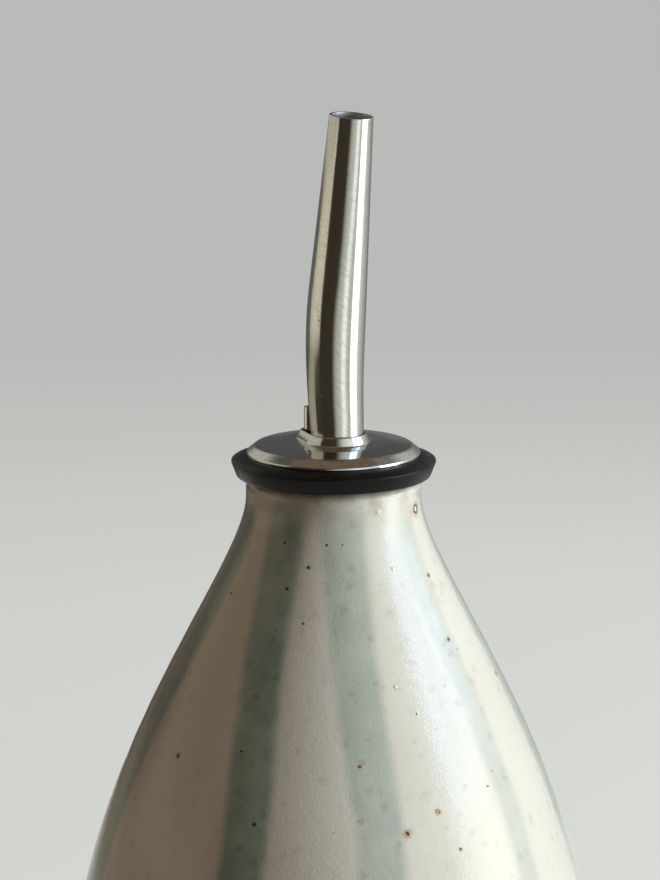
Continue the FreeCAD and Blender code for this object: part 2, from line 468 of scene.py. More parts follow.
def throwSurface(bm, s, top):
    # the faint spiral and unevenness of a pot thrown by hand, always inwards and none at the neck
    for v in bm.verts:
        height = v.co.z / mm
        radius = Vector(v.co.xy).length / mm
        if radius < 0.1:
            continue
        turn = atan2(v.co.y, v.co.x)
        calm = min(max((top - s["calmNeck"] - height) / s["calmBlend"], 0), 1)
        calm *= min(height / s["calmFoot"], 1)
        spiral = (sin(2 * pi * height / s["throwingPitch"] - turn) + 1) / 2 * s["throwingDepth"]
        uneven = (noise.noise(v.co / (s["wobbleSize"] * mm)) + 1) / 2 * s["wobble"]
        shrink = 1 - calm * (spiral + uneven) / radius
        v.co.x *= shrink
        v.co.y *= shrink


def markOutside(bm):
    # one on the outside, which has the stripes, and none in the hollow and the throat
    layer = bm.verts.layers.float.new("outside")
    bm.normal_update()
    for v in bm.verts:
        v[layer] = 1.0 if v.normal.x * v.co.x + v.normal.y * v.co.y >= 0 else 0.0


def makeBottle(s, material):
    low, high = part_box("bottle")
    top = high.z / mm
    belly = min(high.x - low.x, high.y - low.y) / 2 / mm
    bm = bmesh.new()
    outlineFromKnots(bm, bottleKnots(s, top, belly), s["curveSteps"])
    spinOutline(bm, s["turns"])
    roundRings(bm, [(s["foot"] - s["footWidth"], 0, s["footRound"]), (s["foot"], 0, s["footRound"])])
    throwSurface(bm, s, top)
    markOutside(bm)
    makePiece("thrownBottle", bm, "bottle", "bottle", material)


def outsideRadius(s, height):
    # the outer radius at a height above the belly, found on the shoulder's curve
    neckBottom = mouth.z / mm - s["neckLength"]
    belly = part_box("bottle")[1].x / mm
    poles = [
        (belly, s["bellyHeight"]), (belly, s["bellyHeight"] + s["bellyRise"]),
        (s["neck"], neckBottom - s["neckFlare"]), (s["neck"], neckBottom),
    ]
    low, high = 0.0, 1.0
    for _ in range(40):
        t = (low + high) / 2
        share = [(1 - t) ** 3, 3 * (1 - t) ** 2 * t, 3 * (1 - t) * t * t, t ** 3]
        radius = sum(w * p[0] for w, p in zip(share, poles))
        if sum(w * p[1] for w, p in zip(share, poles)) < height:
            low = t
        else:
            high = t
    return radius


# Glaze

glazeSettings = {
    "cream": (0.80, 0.775, 0.70),
    "creamDeep": (0.735, 0.69, 0.60),
    "creamPatch": 13,  # widths of the patches in each colour
    "thin": (0.60, 0.50, 0.41),  # thinner glaze at the top of the neck, darkened there as painted shade under the stopper
    "thinPatch": 3.5,
    "thinFrom": 138,
    "thinTo": 144,
    "brushed": (0.32, 0.435, 0.38),
    "brushedDeep": (0.262, 0.348, 0.297),
    "brushedPatch": 4,
    "iron": (0.035, 0.024, 0.016),
    "rust": (0.52, 0.27, 0.07),
    "blot": (0.17, 0.15, 0.115),
    "clay": (0.50, 0.37, 0.26),
    "toasted": (0.30, 0.17, 0.09),
    "clayPatch": 1.2,
    "clayRoughness": 0.85,
    "clayLine": 1.7,  # the glaze stops at this height on the foot ring
    "clayFade": 0.3,
    "clayWaver": 1.2,
    "toastWidth": 1.5,
    "toastDepth": 0.6,
    "roughness": (0.05, 0.11),
    "cloud": 6,
    "grain": 0.08,  # how much rougher it is in the hollows of the orange peel
    "pitRoughness": 0.3,
    "ripple": 0.36,  # the sizes of the glaze's orange peel and of its slower waves
    "wave": 2.0,
    "rippleDepth": 0.039,
    "raised": 2.2,  # the grains' height and the pits' depth, in ripples
    "sunk": 1.6,
    "speckSpacing": 3.4,
    "speckSize": 0.24,
    "speckDepth": 0.8,
    "blotSpacing": 2.9,
    "blotSize": 0.95,
    "blotDepth": (0.16, 0.36),  # on the cream and on the stripes
    "haloDepth": 0.8,
    "coreDepth": 0.93,
}

# Brushed stripes: degrees to the right of the camera at the neck and at the belly, width and strength
stripeSettings = [
    (-70, -75, 1.0, 0.9),
    (-30.9, -23, 1.11, 1.0),
    (6.6, 11.7, 1.14, 0.6),
    (50.5, 53.5, 0.7, 0.33),
    (87, 83, 0.8, 0.5),
    (122, 119, 1.05, 0.8),
    (156, 154, 0.9, 0.7),
    (192, 190, 1.15, 0.95),
    (226, 224, 0.95, 0.7),
    (258, 256, 1.05, 0.85),
]
stripeShape = {
    "neckHeight": 137,
    "bellyHeight": 92,
    "halfAtNeck": 3.1,
    "halfAtBelly": 3.4,
    "halfAtFoot": 4.6,
    "feather": 2.3,
    "waver": 0.7,
    "waverSize": 9,
    "top": 145,
    "topFade": 8,
    "bottom": 9,
    "bottomFade": 6,
    "ragged": 22,  # how unevenly the brush left the foot
    "raggedSize": 5,
    "patchSize": 7,
    "thinnest": 0.72,
}

# The larger specks: degrees to the right of the camera, height, and radii of core, halo and pale middle
speckSettings = [
    (67, 140.5, 1.0, 1.9, 0.55), (19, 94.3, 0.42, 1.15, 0),
    (28.5, 96.8, 0.42, 0.95, 0.24), (-51.5, 102.8, 0.42, 0.9, 0),
    (-21, 95.5, 0.5, 0, 0), (7.5, 104.5, 0.3, 0.7, 0),
    (-58, 127.5, 0.28, 0.6, 0), (58, 130.3, 0.28, 0.7, 0),
    (53.5, 120.6, 0.32, 0.8, 0), (-14, 133.2, 0.3, 0.6, 0),
    (-30.5, 136.6, 0.3, 0, 0), (-4.5, 136.7, 0.27, 0, 0),
    (5, 136.7, 0.2, 0, 0), (-24, 129.8, 0.42, 0, 0),
    (-13.5, 125, 0.22, 0.5, 0), (-25, 123.7, 0.2, 0, 0),
    (-28.5, 105.8, 0.3, 0, 0), (28, 111.3, 0.26, 0, 0),
    (33, 90.8, 0.3, 0.6, 0), (79, 112.5, 0.3, 0.8, 0),
    (47, 98.7, 0.26, 0, 0), (150, 98, 0.45, 1.1, 0),
    (205, 74, 0.38, 0.9, 0), (-110, 84, 0.4, 1.0, 0),
    (-35, 52, 0.35, 0.8, 0), (60, 40, 0.4, 1.0, 0),
]

# Grains under the glaze that raise it: degrees to the right of the camera, height and size
grainSettings = [
    (29.5, 141.6, 0.6),
    (22.5, 115.5, 0.45),
    (34, 132.5, 0.5),
    (43, 114.5, 0.55),
    (-140, 104, 0.6),
    (12, 60, 0.5),
]


def spotOnBottle(turn, height):
    # where a place on the outside is, by degrees to the right of the camera and its height
    angle = radians(cameraSettings["azimuth"] - 90 + turn)
    radius = outsideRadius(bottleSettings, height)
    return Vector((radius * cos(angle), radius * sin(angle), height)) * mm


def makeStripeGroup(feather):
    # One brushed stripe: how near a place is to its middle, measured round the bottle
    group, given, made = nodeGroup("brushedStripe", {
        "Turn": 0.0, "Down": 0.0, "Radius": 0.03, "HalfWidth": 0.004,
        "NeckAngle": 0.0, "BellyAngle": 0.0, "Width": 1.0, "Strength": 1.0,
    }, ["Mask"])
    turn, down, radius, half, neckAngle, bellyAngle, width, strength = given[:8]
    middle = plus(group, neckAngle, times(group, minus(group, bellyAngle, neckAngle), down))
    off = minus(group, turn, middle)
    wrapped = addNode(group, "ShaderNodeMath", {0: off, 1: -pi, 2: pi}, operation="WRAP").outputs[0]
    away = times(group, mathNode(group, "ABSOLUTE", wrapped), radius)
    edge = times(group, half, width)
    soft = feather * mm / 2
    mask = mapRange(group, away, plus(group, edge, soft), minus(group, edge, soft))
    group.links.new(times(group, mask, strength), made["Mask"])
    return group


def stripeMask(tree, place, shape):
    angle, radius, z = roundPlace(tree, place)
    waver = swing(tree, place, shape["waverSize"], 2 * shape["waver"] * mm, stretch=(1, 1, 1.6))
    neck, belly = shape["neckHeight"] * mm, shape["bellyHeight"] * mm
    half = mapRange(tree, z, neck, belly, shape["halfAtNeck"] * mm, shape["halfAtBelly"] * mm)
    wider = mapRange(tree, z, belly, 0.0, 0.0, (shape["halfAtFoot"] - shape["halfAtBelly"]) * mm)
    group = makeStripeGroup(shape["feather"])
    facing = cameraSettings["azimuth"] - 90
    shared = {
        "Turn": plus(tree, angle, mathNode(tree, "DIVIDE", waver, radius)),
        "Down": mapRange(tree, z, neck, belly),
        "Radius": radius,
        "HalfWidth": plus(tree, half, wider),
    }
    total = 0.0
    for neckTurn, bellyTurn, width, strength in stripeSettings:
        stripe = groupNode(
            tree, group, **shared, NeckAngle=radians(facing + neckTurn),
            BellyAngle=radians(facing + bellyTurn), Width=width, Strength=strength,
        )
        total = larger(tree, stripe["Mask"], total)
    fadeTop = mapRange(tree, z, shape["top"] * mm, (shape["top"] - shape["topFade"]) * mm)
    ragged = plus(tree, z, swing(tree, place, shape["raggedSize"], shape["ragged"] * mm))
    bottom = shape["bottom"] * mm
    fadeBottom = mapRange(tree, ragged, bottom, bottom + shape["bottomFade"] * mm)
    patches = noiseNode(tree, place, shape["patchSize"], 3.0, 0.6)
    patchy = mapRange(tree, patches, 0.25, 0.65, shape["thinnest"], 1.0)
    return times(tree, times(tree, total, times(tree, fadeTop, fadeBottom)), patchy)


def speckMasks(tree, place):
    # the larger specks' cores, halos and pale middles
    cores, halos, eyes = 0.0, 0.0, 0.0
    for turn, height, core, halo, eye in speckSettings:
        spot = spotOnBottle(turn, height)
        masks = groupNode(tree, speckGroup, Place=place, Centre=spot, Core=core * mm, Halo=halo * mm)
        cores = larger(tree, masks["Core"], cores)
        if halo:
            halos = larger(tree, masks["Halo"], halos)
        if eye:
            pale = groupNode(tree, speckGroup, Place=place, Centre=spot, Core=eye * mm)
            eyes = larger(tree, pale["Core"], eyes)
    return cores, halos, eyes


def grainHeights(tree, place):
    total = 0.0
    for turn, height, size in grainSettings:
        masks = groupNode(tree, speckGroup, Place=place, Centre=spotOnBottle(turn, height), Halo=size * mm)
        total = larger(tree, masks["Halo"], total)
    return total


def crookedPlace(tree, place, size, amount):
    # the place shaken a little, so that specks aren't perfect rounds
    shake = addNode(tree, "ShaderNodeTexNoise", {"Vector": place, "Scale": 1 / (size * mm), "Detail": 1.0})
    around = vectorNode(tree, "SUBTRACT", {0: shake.outputs["Color"], 1: (0.5, 0.5, 0.5)})
    small = vectorNode(tree, "SCALE", {0: around[0], 3: amount * mm})
    return vectorNode(tree, "ADD", {0: place, 1: small[0]})[0]


def makeGlaze(s):
    material, tree, shader = newMaterial("speckledGlaze")
    place = objectPlace(tree)
    z = splitPlace(tree, place)[2]
    outer = addNode(tree, "ShaderNodeAttribute", {}, attribute_name="outside").outputs["Fac"]
    crooked = crookedPlace(tree, place, 0.5, 0.35)
    uneven = crookedPlace(tree, place, 1.3, 1.5)

    # colour of the glaze and its brushed stripes
    cream = mixColours(tree, noiseNode(tree, place, s["creamPatch"], 3.0, 0.55), s["cream"], s["creamDeep"])
    # mottled thinner glaze just under the stopper's flange, also darkened as painted shade for the shadow
    # the flange casts
    mottled = mapRange(tree, noiseNode(tree, place, s["thinPatch"], 3.0, 0.6), 0.35, 0.7)
    thin = times(tree, mapRange(tree, z, s["thinFrom"] * mm, s["thinTo"] * mm), mottled)
    cream = mixColours(tree, thin, cream, s["thin"])
    green = mixColours(tree, noiseNode(tree, place, s["brushedPatch"]), s["brushed"], s["brushedDeep"])
    stripes = times(tree, stripeMask(tree, place, stripeShape), outer)
    colour = mixColours(tree, stripes, cream, green)

    # faint blots and small brown specks all over, and the larger ones
    blots = strewn(tree, uneven, s["blotSpacing"], s["blotSize"], 0.85, 0.1)
    blotDepth = mapRange(tree, stripes, 0.0, 1.0, *s["blotDepth"])
    small = strewn(tree, crooked, s["speckSpacing"], s["speckSize"])
    cores, halos, eyes = speckMasks(tree, crooked)
    for mask, added in (
        (times(tree, blots["Speck"], blotDepth), s["blot"]),
        (times(tree, halos, s["haloDepth"]), s["rust"]),
        (times(tree, small["Speck"], times(tree, small["Pick"], s["speckDepth"])), s["iron"]),
        (times(tree, cores, s["coreDepth"]), s["iron"]),
        (eyes, s["cream"]),
    ):
        colour = mixColours(tree, mask, colour, added)

    # bare clay on the foot ring, toasted where the glaze ends
    line = s["clayLine"]
    edge = plus(tree, z, swing(tree, place, 6, s["clayWaver"] * mm))
    bare = mapRange(tree, edge, line * mm, (line - s["clayFade"]) * mm)
    toast = mapRange(tree, edge, (line + s["toastWidth"]) * mm, line * mm)
    clay = mixColours(tree, noiseNode(tree, place, s["clayPatch"], 4.0, 0.7), s["clay"], s["toasted"])
    colour = mixColours(tree, times(tree, toast, s["toastDepth"]), colour, s["toasted"])
    colour = mixColours(tree, bare, colour, clay)

    cloud = mapRange(tree, noiseNode(tree, place, s["cloud"], 3.0), 0.3, 0.7, *s["roughness"])
    ripple = noiseNode(tree, place, s["ripple"], 2.0, 0.55)
    grain = mapRange(tree, ripple, 0.5, 0.36, 0.0, s["grain"])
    glazed = plus(tree, plus(tree, cloud, times(tree, cores, s["pitRoughness"])), grain)
    rough = larger(tree, times(tree, bare, s["clayRoughness"]), glazed)

    raised = times(tree, grainHeights(tree, crooked), s["raised"])
    sunk = times(tree, minus(tree, cores, eyes), -s["sunk"])
    waves = plus(tree, ripple, noiseNode(tree, place, s["wave"]))
    normal = bumpNormal(tree, plus(tree, waves, plus(tree, raised, sunk)), s["rippleDepth"])
    feed(tree, shader, {"Base Color": colour, "Roughness": rough, "Normal": normal})
    return material


# Rubber

rubberSettings = {
    "colour": (0.0042, 0.0040, 0.0038),
    "dust": (0.045, 0.043, 0.04),
    "roughness": (0.23, 0.36),
    "specular": 0.17,
    "film": 0.08,
    "filmPatch": 4,
    "dustSpacing": 2.0,
    "dustSize": 0.12,
    "dustDepth": 0.6,
    "cloud": 3,
    "grain": 0.12,
    "grainDepth": 0.006,
}


def makeRubber(s):
    material, tree, shader = newMaterial("mouldedRubber")
    place = objectPlace(tree)
    grains = strewn(tree, place, s["dustSpacing"], s["dustSize"])
    film = mapRange(tree, noiseNode(tree, place, s["filmPatch"], 4.0, 0.6), 0.45, 0.8, 0.0, s["film"])
    dusty = larger(tree, film, times(tree, grains["Speck"], s["dustDepth"]))
    feed(tree, shader, {
        "Base Color": mixColours(tree, dusty, s["colour"], s["dust"]),
        "Specular IOR Level": s["specular"],
        "Roughness": mapRange(tree, noiseNode(tree, place, s["cloud"], 3.0), 0.3, 0.7, *s["roughness"]),
        "Normal": bumpNormal(tree, noiseNode(tree, place, s["grain"]), s["grainDepth"]),
    })
    return material


# Stainless steel

steelSettings = {
    "colour": (0.61, 0.595, 0.57),
    "marked": (0.44, 0.43, 0.405),
    "dull": (0.42, 0.41, 0.39),
    "dullRoughness": (0.38, 0.52),
    "dullPatch": 0.4,
    "roughness": 0.11,
    "haze": 0.04,
    "twist": 0.2,  # radians that the tubes' polishing marks climb round in a millimetre
    "markDepth": 0.003,
    "dentSpacing": 3.0,
    "dentSize": 0.09,
    "dentDepth": 3.0,  # in marks
    "nicks": [(0.60, -4.86, 171.6), (0.80, -4.84, 171.4)],  # a short scratch on the spout
    "nickSize": 0.17,
    "nicked": (0.09, 0.08, 0.065),
}


def twistedPlace(tree):
    # turned about the spout by its height, so that the marks climb round it
    place = objectPlace(tree)
    angle = times(tree, splitPlace(tree, place)[2], steelSettings["twist"] / mm)
    middle = (spoutSettings["offset"] * mm, 0, 0)
    turned = {"Vector": place, "Center": middle, "Angle": angle}
    return addNode(tree, "ShaderNodeVectorRotate", turned, rotation_type="Z_AXIS").outputs[0]


def spunPlace(tree):
    # by distance from the axis, height, and how far round it is, so that the marks run round the disc
    turn, radius, z = roundPlace(tree, objectPlace(tree))
    along = times(tree, turn, radius)
    return addNode(tree, "ShaderNodeCombineXYZ", {0: radius, 1: z, 2: along}).outputs[0]


def makeDrawnSteel(s):
    # the unpolished inside of the tubes
    material, tree, shader = newMaterial("drawnSteel")
    streaks = noiseNode(tree, objectPlace(tree), s["dullPatch"], 3.0, 0.6, (1, 1, 0.15))
    feed(tree, shader, {
        "Base Color": mixColours(tree, streaks, s["colour"], s["dull"]),
        "Metallic": 1.0,
        "Roughness": mapRange(tree, streaks, 0.2, 0.8, *s["dullRoughness"]),
    })
    return material


def makeSteel(name, s, marksPlace):
    material, tree, shader = newMaterial(name)
    place = objectPlace(tree)
    polish = groupNode(tree, markGroup, Place=marksPlace(tree), Haze=s["haze"], Roughness=s["roughness"])
    dents = strewn(tree, place, s["dentSpacing"], s["dentSize"])
    colour = mixColours(tree, polish["Mark"], s["colour"], s["marked"])
    for spot in s["nicks"]:
        nick = groupNode(tree, speckGroup, Place=place, Centre=Vector(spot) * mm, Core=s["nickSize"] * mm)
        colour = mixColours(tree, nick["Core"], colour, s["nicked"])
    height = minus(tree, polish["Height"], times(tree, dents["Speck"], s["dentDepth"]))
    normal = bumpNormal(tree, height, s["markDepth"])
    feed(tree, shader, {
        "Base Color": colour, "Metallic": 1.0, "Roughness": polish["Roughness"], "Normal": normal,
    })
    return material


# Stopper

stopperSettings = {
    "turns": 128,
    "ribs": 3,
    "ribPitch": 3.6,
    "ribDepth": 1.5,
    "ribTaper": 0.12,
    "ribLand": 0.4,
    "ribRise": 0.4,
    "ribDrop": 1.2,
    "firstRib": 3.0,
    "ribClearance": 0.08,
    "under": 16.0,
    "thickness": 2.65,
    "boss": 12.45,
    "bossShoulder": 0.5,
    "flat": 9.0,
    "round": 0.3,
    "underRound": 0.4,
    "plugRound": 0.8,
    "holeClearance": 0.03,
}


def makeStopper(s, tubes, material):
    low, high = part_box("stopper")
    discLow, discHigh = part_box("disc")
    top = mouth.z / mm
    bottom = low.z / mm
    edge = (high.x - low.x) / 2 / mm
    seat = discLow.z / mm
    bossTop = high.z / mm
    rib = bottleSettings["throat"] - s["ribClearance"]
    plug = rib - s["ribDepth"]
    corners = [(0, bottom), (plug, bottom)]
    for i in reversed(range(s["ribs"])):
        land = top - s["firstRib"] - i * s["ribPitch"]
        tip = rib - i * s["ribTaper"]
        corners += [
            (plug, land - s["ribDrop"]), (tip, land),
            (tip, land + s["ribLand"]), (plug, land + s["ribLand"] + s["ribRise"]),
        ]
    flangeTop = top + s["thickness"]
    discRadius = (discHigh.x - discLow.x) / 2 / mm
    corners += [
        (plug, top), (s["under"], top), (edge, flangeTop), (discRadius, seat), (s["boss"], seat),
        (s["boss"], bossTop - s["bossShoulder"]), (s["flat"], bossTop), (0, bossTop),
    ]
    bm = bmesh.new()
    outlineFromCorners(bm, corners)
    spinOutline(bm, s["turns"])
    roundRings(bm, [
        (s["under"], top, s["underRound"]), (edge, flangeTop, s["round"]), (plug, bottom, s["plugRound"]),
    ])
    piece = makePiece("ribbedStopper", bm, "pourer", "stopper", material, 30)
    cutHoles(piece, [(x, radius + s["holeClearance"]) for x, radius in tubes])


# Disc and collar

discSettings = {
    "turns": 144,
    "edge": 0.4,
    "face": 12.95,
    "skirt": 1.15,
    "flat": 9.0,
    "crown": 0.5,
    "sheet": 0.45,
    "faceRound": 0.4,
    "flatRound": 0.7,
    "rimRound": 0.13,
    "collarInside": 0.05,  # how far the collar stands off both tubes
    "collarWall": 0.35,
    "collarFlare": 0.55,
    "collarFoot": 0.3,
    "footSteps": 5,
    "tail": 2.0,  # the collar's inside radius round the air tube
}


def eggPoint(turn, growth, tubes):
    # where the outline round both tubes faces a direction
    spoutX, spoutRadius, tailX, tailRadius = tubes
    sideways = acos((tailRadius - spoutRadius) / (spoutX - tailX))
    x, radius = (spoutX, spoutRadius) if abs(turn) < sideways else (tailX, tailRadius)
    return Vector((x + (radius + growth) * cos(turn), (radius + growth) * sin(turn)))


def discRings(s, rim, radius, top):
    # round the sheet's section from its outer rim over the face, up the collar, down inside it and back
    skirtTop = rim + s["edge"]
    face = skirtTop + s["skirt"]
    crown = face + s["crown"]
    collar = s["collarInside"] + s["collarWall"]
    foot = s["collarFoot"]
    rings = [("circle", radius, rim), ("circle", radius, skirtTop)]
    rings += [("circle", s["face"], face), ("circle", s["flat"], crown)]
    for i in range(s["footSteps"] + 1):
        a = i / s["footSteps"] * pi / 2
        rings.append(("egg", collar + s["collarFlare"] + foot * (1 - sin(a)), crown + foot * (1 - cos(a))))
    under = crown - s["sheet"]
    rings += [("egg", collar, top), ("egg", s["collarInside"], top), ("egg", s["collarInside"], under)]
    rings += [("circle", s["flat"], under), ("circle", s["face"] - s["sheet"], face - s["sheet"])]
    return rings + [("circle", radius - s["sheet"], skirtTop), ("circle", radius - s["sheet"], rim)]


def makeDisc(s, tubes, material):
    low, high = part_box("disc")
    radius = (high.x - low.x) / 2 / mm
    rim = low.z / mm
    top = high.z / mm
    rings = discRings(s, rim, radius, top)
    bm = bmesh.new()
    turnLayer = bm.verts.layers.float.new("turn")
    bmesh.ops.create_circle(bm, segments=s["turns"], radius=radius * mm)
    for v in bm.verts:
        v[turnLayer] = atan2(v.co.y, v.co.x)
        v.co.z = rim * mm
    firstEdges = bm.edges[:]
    edges = firstEdges
    for kind, size, height in rings[1:]:
        edges, verts = extrudeEdges(bm, edges)
        for v in verts:
            turn = v[turnLayer]
            spot = eggPoint(turn, size, tubes) if kind == "egg" else Vector((cos(turn), sin(turn))) * size
            v.co = (spot.x * mm, spot.y * mm, height * mm)
    bmesh.ops.bridge_loops(bm, edges=firstEdges + edges)
    bmesh.ops.recalc_face_normals(bm, faces=bm.faces[:])
    face = rim + s["edge"] + s["skirt"]
    roundRings(bm, [(s["face"], face, s["faceRound"]), (s["flat"], face + s["crown"], s["flatRound"])], 5)
    piece = makePiece("pressedDisc", bm, "pourer", "disc", material, 50)
    softenEdges(piece, s["rimRound"])


# Spout

spoutSettings = {
    "turns": 96,
    "steps": 60,
    "length": 52.57,  # along its bend, from the collar's top
    "base": 4.39,  # outside radii at the collar, where it is widest, and at the tip
    "waist": 4.97,
    "tip": 3.56,
    "waistAt": 18.67,
    "blend": 6,  # to each side of the waist, where one taper rounds into the other
    "wall": 0.5,
    "back": 4.0,  # degrees that it leans back at the collar and forward at the tip
    "fore": 5.5,
    "setBack": 2.77,  # the length that it takes to lean back, and then to bend forward
    "bend": 21.3,
    "offset": 0.7,
    "rimRound": 0.12,
}


def spoutLean(s, distance):
    if distance < s["setBack"]:
        return -s["back"] * distance / s["setBack"]
    share = min((distance - s["setBack"]) / s["bend"], 1)
    return (s["back"] + s["fore"]) * share - s["back"]


def spoutRadius(s, distance):
    past = distance - s["waistAt"]
    widening = (s["waist"] - s["base"]) / s["waistAt"]
    taper = (s["waist"] - s["tip"]) / (s["length"] - s["waistAt"])
    reach = abs(past)
    if reach < s["blend"]:
        reach = (past ** 2 + s["blend"] ** 2) / (2 * s["blend"])
    return s["waist"] - (taper - widening) / 2 * past - (taper + widening) / 2 * reach


def ringFrame(x, z, lean, radius):
    turn = Matrix.Rotation(radians(lean), 4, "Y")
    return Matrix.Translation((x * mm, 0, z * mm)) @ turn @ Matrix.Scale(radius * mm, 4)


def makeSpout(s, outside, inside):
    low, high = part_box("spout")
    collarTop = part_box("disc")[1].z / mm
    frames = [ringFrame(s["offset"], low.z / mm, 0, s["base"])]
    step = s["length"] / s["steps"]
    x, z = s["offset"], collarTop
    for i in range(s["steps"] + 1):
        distance = i * step
        frames.append(ringFrame(x, z, spoutLean(s, distance), spoutRadius(s, distance)))
        lean = radians(spoutLean(s, distance + step / 2))
        x += sin(lean) * step
        z += cos(lean) * step
    bm = bmesh.new()
    bmesh.ops.create_circle(bm, segments=s["turns"], radius=1, matrix=frames[0])
    edges = bm.edges[:]
    for before, after in zip(frames, frames[1:]):
        edges, verts = extrudeEdges(bm, edges)
        bmesh.ops.transform(bm, matrix=after @ before.inverted(), verts=verts)
    bmesh.ops.recalc_face_normals(bm, faces=bm.faces[:])
    piece = makePiece("bentSpout", bm, "pourer", "spout", outside, 50)
    thicken(piece, s["wall"], inside)
    softenEdges(piece, s["rimRound"])


# Air tube

airSettings = {"turns": 40, "wall": 0.3, "cut": 45, "rimRound": 0.06}


def makeAirTube(s, outside, inside):
    low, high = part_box("air_tube")
    x = (low.x + high.x) / 2
    radius = (high.x - low.x) / 2
    bm = bmesh.new()
    foot = Matrix.Translation((x, 0, low.z))
    bmesh.ops.create_circle(bm, segments=s["turns"], radius=radius, matrix=foot)
    edges, verts = extrudeEdges(bm, bm.edges[:])
    bmesh.ops.translate(bm, vec=(0, 0, high.z - low.z), verts=verts)
    cut = radians(s["cut"])
    across = Vector((sin(cut), 0, cos(cut)))
    bmesh.ops.bisect_plane(
        bm, geom=bm.verts[:] + bm.edges[:] + bm.faces[:], plane_co=(x, 0, low.z + radius * tan(cut)),
        plane_no=across, clear_inner=True,
    )
    bmesh.ops.recalc_face_normals(bm, faces=bm.faces[:])
    piece = makePiece("airTube", bm, "pourer", "air_tube", outside, 50)
    thicken(piece, s["wall"], inside)
    softenEdges(piece, s["rimRound"])


# Floor, lamps and what the polished surfaces mirror

studioSettings = {
    "floorRadius": 9.0,
    "floorDrop": 0.05,  # how far it lies below the foot
    "floorColour": (0.40, 0.41, 0.395),
    "farColour": (0.05, 0.05, 0.05),  # so that it doesn't glare under the lamps
    "nearEdge": 0.45,  # metres from the object
    "farEdge": 1.0,
    "floorGlow": (0.48, 0.49, 0.475),  # seen by the camera and in mirrors, and lights nothing
    "worldColour": (0.66, 0.67, 0.65),
    "worldLight": (0.10, 0.062, 0.034),  # what it sheds on the object
    "lampTarget": -40,  # from the mouth
}

lampSettings = [
    {"name": "windowLamp", "turn": 76, "lift": 22, "away": 1.2, "width": 0.6, "height": 0.9,
     "power": 18.5, "colour": (0.92, 1.0, 1.02)},
    {"name": "warmFill", "turn": -75, "lift": 10, "away": 1.4, "width": 1.2, "height": 0.9,
     "power": 0.9, "colour": (1.0, 0.74, 0.50)},
]

# What the steel mirrors: colours by the turn in degrees to the right of the camera
mirrorSettings = {
    "radius": 0.40,
    "bands": [
        (-180, (0.15, 0.16, 0.155)), (-124, (0.15, 0.16, 0.155)),
        (-114, (0.66, 0.63, 0.50)), (-92, (0.88, 0.84, 0.67)), (-66, (0.80, 0.76, 0.60)),
        (-61, (0.055, 0.042, 0.026)), (-2, (0.055, 0.045, 0.03)), (4, (0.30, 0.30, 0.26)),
        (13, (0.60, 0.62, 0.57)), (30, (0.80, 0.84, 0.79)), (40, (1.5, 1.55, 1.45)),
        (48, (1.4, 1.45, 1.35)), (53, (0.70, 0.72, 0.67)), (61, (0.70, 0.71, 0.66)),
        (68, (4.6, 4.7, 4.4)), (89, (4.6, 4.7, 4.4)), (97, (1.0, 0.98, 0.95)),
        (128, (0.55, 0.54, 0.53)), (150, (0.26, 0.28, 0.27)), (180, (0.17, 0.18, 0.175)),
    ],
    "above": [
        (-180, (0.105, 0.11, 0.105)), (-164, (0.105, 0.11, 0.105)), (-152, (0.60, 0.58, 0.50)),
        (-110, (0.66, 0.63, 0.50)), (-66, (0.60, 0.57, 0.44)), (-60, (0.055, 0.042, 0.026)),
        (-4, (0.055, 0.045, 0.03)), (4, (0.22, 0.22, 0.20)), (26, (0.85, 0.88, 0.83)),
        (50, (1.2, 1.25, 1.2)), (64, (1.1, 1.15, 1.1)), (108, (0.95, 0.97, 0.95)),
        (146, (0.62, 0.63, 0.62)), (160, (0.24, 0.25, 0.24)), (170, (0.105, 0.11, 0.105)),
        (180, (0.105, 0.11, 0.105)),
    ],
    "aboveHeights": (5, 16),  # the bands give way to it between these heights in degrees
    "aboveLeftHeights": (3, 6),  # and between these on the left
    "aboveLeftTurns": (-60, -80),
    "panes": [(68, 78), (85, 90), (96, 102)],  # turns of the window's panes
    "paneEdge": 2,
    "glass": (3.8, 5.1, 7.0),
    "bar": (1.1, 1.4, 1.9),
    "overhead": [
        (-180, (0.11, 0.11, 0.10)), (-140, (0.12, 0.12, 0.105)), (-80, (0.145, 0.14, 0.11)),
        (-30, (0.16, 0.125, 0.082)), (40, (0.165, 0.135, 0.09)), (70, (0.27, 0.26, 0.23)),
        (110, (0.28, 0.28, 0.25)), (140, (0.22, 0.22, 0.20)), (180, (0.11, 0.11, 0.10)),
    ],
    "overheadHeights": (34, 50),
    "zenith": (0.21, 0.155, 0.10),
    "zenithHeights": (56, 64),
    "leftTurns": (-25, -60),
    "leftShift": 30,  # how far the beige card's edge leans to the left between these heights
    "leftHeights": (-8, -11),
    "dimmed": (0.05, 0.04, 0.03),
    "dimShare": 0.5,  # how much darker the card is low down
    "dimHeights": (-5.5, -9),
    "midShift": 10,  # how far the middle bands lean to the left between these heights
    "midHeights": (-5.8, -6.9),
    "midLeftTurns": (-60, -20),
    "midRightTurns": (60, 35),
}


def pathMask(tree):
    # one for rays from the camera, a mirror or a clear thing
    path = addNode(tree, "ShaderNodeLightPath", {}).outputs
    direct = larger(tree, path["Is Camera Ray"], path["Is Glossy Ray"])
    return larger(tree, direct, path["Is Transmission Ray"])


